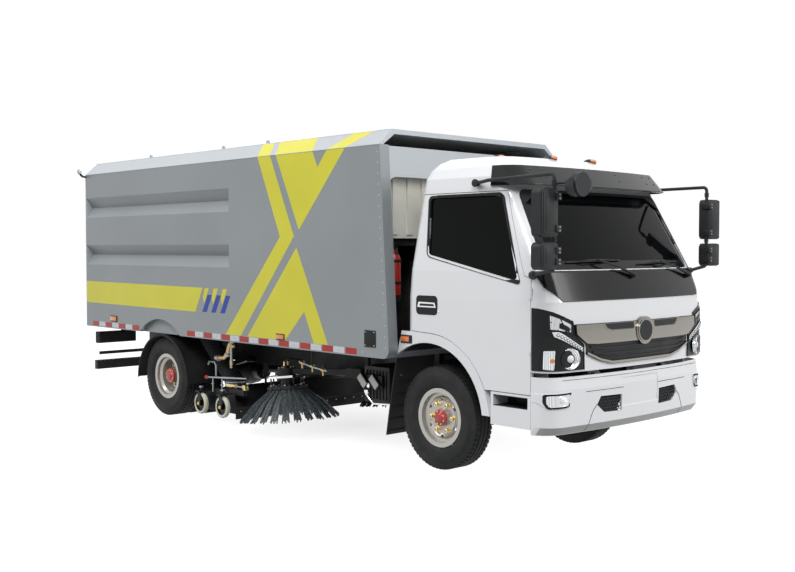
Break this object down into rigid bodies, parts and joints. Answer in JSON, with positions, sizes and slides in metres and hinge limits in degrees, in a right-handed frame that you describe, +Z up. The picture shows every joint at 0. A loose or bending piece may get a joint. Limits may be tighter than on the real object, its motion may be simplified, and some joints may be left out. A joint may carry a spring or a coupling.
{
  "type": "street sweeper truck",
  "caption": "Cab-over street sweeper truck with a closed hopper body, side brooms and a suction nozzle slung between the axles.",
  "frame": {"origin": "on the ground, at the centre of the truck's overall length and width", "axes": "+X forward, +Y to the truck's left, +Z up"},
  "size_m": [6.838, 2.54, 2.7039],
  "materials": {
    "body_grey": "satin grey paint",
    "inner_steel": "painted steel",
    "cab_white": "gloss white paint",
    "tinted_glass": "dark tinted",
    "gloss_black": "gloss black",
    "grille_chrome": "polished",
    "lamp_lens": "clear lens over reflector",
    "mirror_black": "grained black",
    "interior": "dark trim",
    "frame_black": "satin black paint",
    "engine_iron": "painted iron",
    "rubber": "matt rubber",
    "tyre": "matt rubber",
    "rim_silver": "silver paint",
    "caster_cream": "cream polyurethane",
    "bristle": "dark grey nylon",
    "tank_cream": "cream polyethylene"
  },
  "bodies": {
    "chassis": {"frame_rails": "frame_black", "crossmembers": "frame_black", "front_axle": "frame_black", "rear_axle": "frame_black", "leaf_springs": "frame_black", "propshaft": "frame_black", "engines": "engine_iron", "bumper": "cab_white", "side_boxes": "frame_black", "mudguards": "rubber", "rear_bumper": "frame_black", "rear_lamps": "lamp_lens", "side_panel_R": "body_grey", "side_panel_L": "body_grey", "body_roof": "body_grey", "body_walls": "body_grey", "body_floor": "inner_steel", "water_tank": "tank_cream", "gear_hangers": "frame_black"},
    "cab": {"cab_shell": "cab_white", "cab_roof": "cab_white", "cab_fenders": "cab_white", "cab_steps": "cab_white", "cab_glass": "tinted_glass", "cowl_panel": "gloss_black", "grille": "grille_chrome", "headlamps": "lamp_lens", "visor": "gloss_black", "mirrors": "mirror_black", "cab_interior": "interior"},
    "door_R": {"door_R": "cab_white", "door_glass_R": "tinted_glass"},
    "door_L": {"door_L": "cab_white", "door_glass_L": "tinted_glass"},
    "knuckle_R": {"knuckle_R": "frame_black"},
    "knuckle_L": {"knuckle_L": "frame_black"},
    "tie_rod": {"tie_rod": "frame_black"},
    "wheel_FR": {"tyre_FR": "tyre", "rim_FR": "rim_silver"},
    "wheel_FL": {"tyre_FL": "tyre", "rim_FL": "rim_silver"},
    "wheels_RR": {"tyres_RR": "tyre", "rims_RR": "rim_silver"},
    "wheels_RL": {"tyres_RL": "tyre", "rims_RL": "rim_silver"},
    "tailgate": {"tailgate": "body_grey"},
    "broom_bracket_R": {"broom_bracket_R": "frame_black"},
    "broom_bracket_L": {"broom_bracket_L": "frame_black"},
    "broom_arm_R": {"broom_arm_R": "frame_black"},
    "broom_arm_L": {"broom_arm_L": "frame_black"},
    "broom_R": {"broom_R": "bristle"},
    "broom_L": {"broom_L": "bristle"},
    "nozzle": {"nozzle": "frame_black", "suction_hose": "rubber"},
    "caster_FR": {"caster_FR": "caster_cream"},
    "caster_FL": {"caster_FL": "caster_cream"},
    "caster_RR": {"caster_RR": "caster_cream"},
    "caster_RL": {"caster_RL": "caster_cream"}
  },
  "joints": [
    {"name": "cab_tilt", "type": "hinge", "parent": "chassis", "child": "cab", "pos_m": [3.109, 0, 0.79], "axis": [0, 1, 0], "range_deg": [0, 45]},
    {"name": "door_R_hinge", "type": "hinge", "parent": "cab", "child": "door_R", "pos_m": [2.967, -1, 1.4], "axis": [0, 0, 1], "range_deg": [0, 65]},
    {"name": "door_L_hinge", "type": "hinge", "parent": "cab", "child": "door_L", "pos_m": [2.967, 1, 1.4], "axis": [0, 0, -1], "range_deg": [0, 65]},
    {"name": "steer_R", "type": "hinge", "parent": "chassis", "child": "knuckle_R", "pos_m": [1.979, -0.7, 0.4025], "axis": [0, 0, 1], "range_deg": [-35, 35]},
    {"name": "steer_L", "type": "hinge", "parent": "chassis", "child": "knuckle_L", "pos_m": [1.979, 0.7, 0.4025], "axis": [0, 0, 1], "range_deg": [-35, 35]},
    {"name": "tie_rod_slide", "type": "slide", "parent": "chassis", "child": "tie_rod", "axis": [0, 1, 0], "range_m": [-0.11, 0.11]},
    {"name": "wheel_FR_spin", "type": "hinge", "parent": "knuckle_R", "child": "wheel_FR", "pos_m": [1.979, -0.82, 0.4025], "axis": [0, 1, 0], "continuous": true},
    {"name": "wheel_FL_spin", "type": "hinge", "parent": "knuckle_L", "child": "wheel_FL", "pos_m": [1.979, 0.82, 0.4025], "axis": [0, 1, 0], "continuous": true},
    {"name": "wheels_RR_spin", "type": "hinge", "parent": "chassis", "child": "wheels_RR", "pos_m": [-1.821, -0.825, 0.4025], "axis": [0, 1, 0], "continuous": true},
    {"name": "wheels_RL_spin", "type": "hinge", "parent": "chassis", "child": "wheels_RL", "pos_m": [-1.821, 0.825, 0.4025], "axis": [0, 1, 0], "continuous": true},
    {"name": "tailgate_lift", "type": "hinge", "parent": "chassis", "child": "tailgate", "pos_m": [-3.385, 0, 2.545], "axis": [0, 1, 0], "range_deg": [0, 75]},
    {"name": "nozzle_lower", "type": "slide", "parent": "chassis", "child": "nozzle", "axis": [0, 0, 1], "range_m": [-0.06, 0], "deforming": ["suction_hose"]},
    {"name": "broom_swing_R", "type": "hinge", "parent": "chassis", "child": "broom_bracket_R", "pos_m": [0.65052, -0.4586, 0.6], "axis": [0, 0, 1], "range_deg": [0, 18]},
    {"name": "broom_lower_R", "type": "hinge", "parent": "broom_bracket_R", "child": "broom_arm_R", "pos_m": [0.499, -0.51, 0.6], "axis": [0.3213, -0.947, 0], "range_deg": [0, 5]},
    {"name": "broom_R_spin", "type": "hinge", "parent": "broom_arm_R", "child": "broom_R", "pos_m": [-0.161, -0.74, 0.4], "axis": [-0.1045, 0, 0.9945], "continuous": true},
    {"name": "broom_swing_L", "type": "hinge", "parent": "chassis", "child": "broom_bracket_L", "pos_m": [0.65052, 0.4586, 0.6], "axis": [0, 0, -1], "range_deg": [0, 18]},
    {"name": "broom_lower_L", "type": "hinge", "parent": "broom_bracket_L", "child": "broom_arm_L", "pos_m": [0.499, 0.51, 0.6], "axis": [-0.3213, -0.947, 0], "range_deg": [0, 5]},
    {"name": "broom_L_spin", "type": "hinge", "parent": "broom_arm_L", "child": "broom_L", "pos_m": [-0.161, 0.74, 0.4], "axis": [-0.1045, 0, 0.9945], "continuous": true},
    {"name": "caster_FR_spin", "type": "hinge", "parent": "nozzle", "child": "caster_FR", "pos_m": [-0.871, -0.985, 0.18], "axis": [0, 1, 0], "continuous": true},
    {"name": "caster_FL_spin", "type": "hinge", "parent": "nozzle", "child": "caster_FL", "pos_m": [-0.871, 0.985, 0.18], "axis": [0, 1, 0], "continuous": true},
    {"name": "caster_RR_spin", "type": "hinge", "parent": "nozzle", "child": "caster_RR", "pos_m": [-1.246, -0.985, 0.18], "axis": [0, 1, 0], "continuous": true},
    {"name": "caster_RL_spin", "type": "hinge", "parent": "nozzle", "child": "caster_RL", "pos_m": [-1.246, 0.985, 0.18], "axis": [0, 1, 0], "continuous": true}
  ],
  "couplings": [
    {"joint": "steer_L", "follows": "steer_R", "ratio": 1},
    {"joint": "tie_rod_slide", "follows": "steer_R", "m_per_rad": -0.16}
  ]
}
